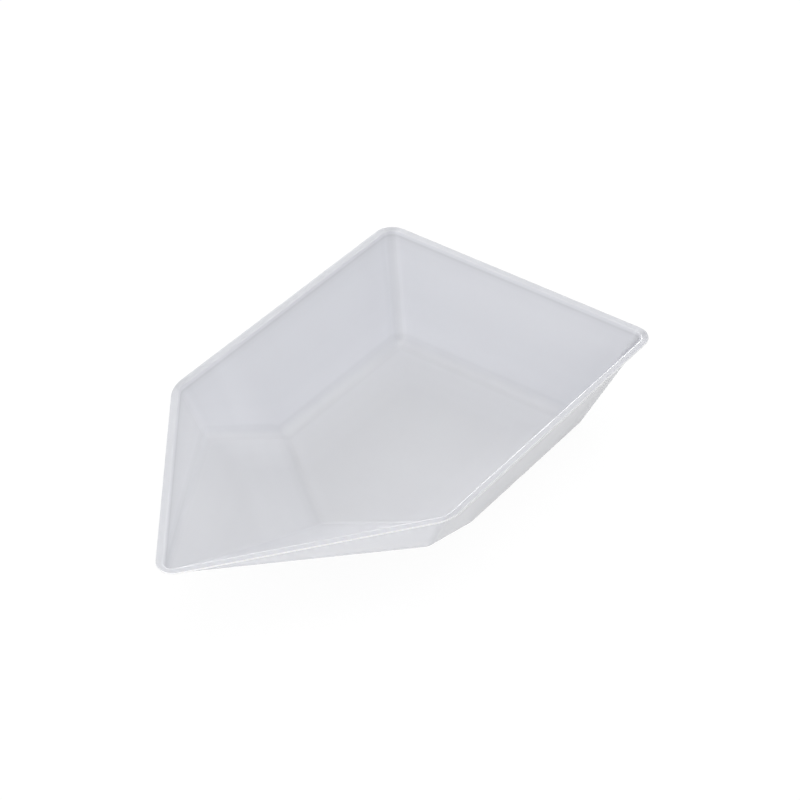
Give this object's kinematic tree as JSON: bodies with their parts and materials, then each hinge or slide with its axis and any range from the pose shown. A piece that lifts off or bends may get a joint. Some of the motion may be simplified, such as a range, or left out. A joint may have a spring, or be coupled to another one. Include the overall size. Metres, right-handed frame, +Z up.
{
  "type": "weighing boat",
  "caption": "One-piece thermoformed weighing boat with drafted walls, a flat rim and a ramped pouring spout that ends in a rounded tip.",
  "frame": {"origin": "on the surface that the boat stands on, at the middle of its length and width", "axes": "+X to the pouring tip, +Y to the left-hand side seen from the back, +Z up"},
  "size_m": [0.1346, 0.08, 0.0251],
  "materials": {
    "polystyrene_sheet": "satin"
  },
  "bodies": {
    "root": {"boat": "polystyrene_sheet"}
  },
  "joints": []
}
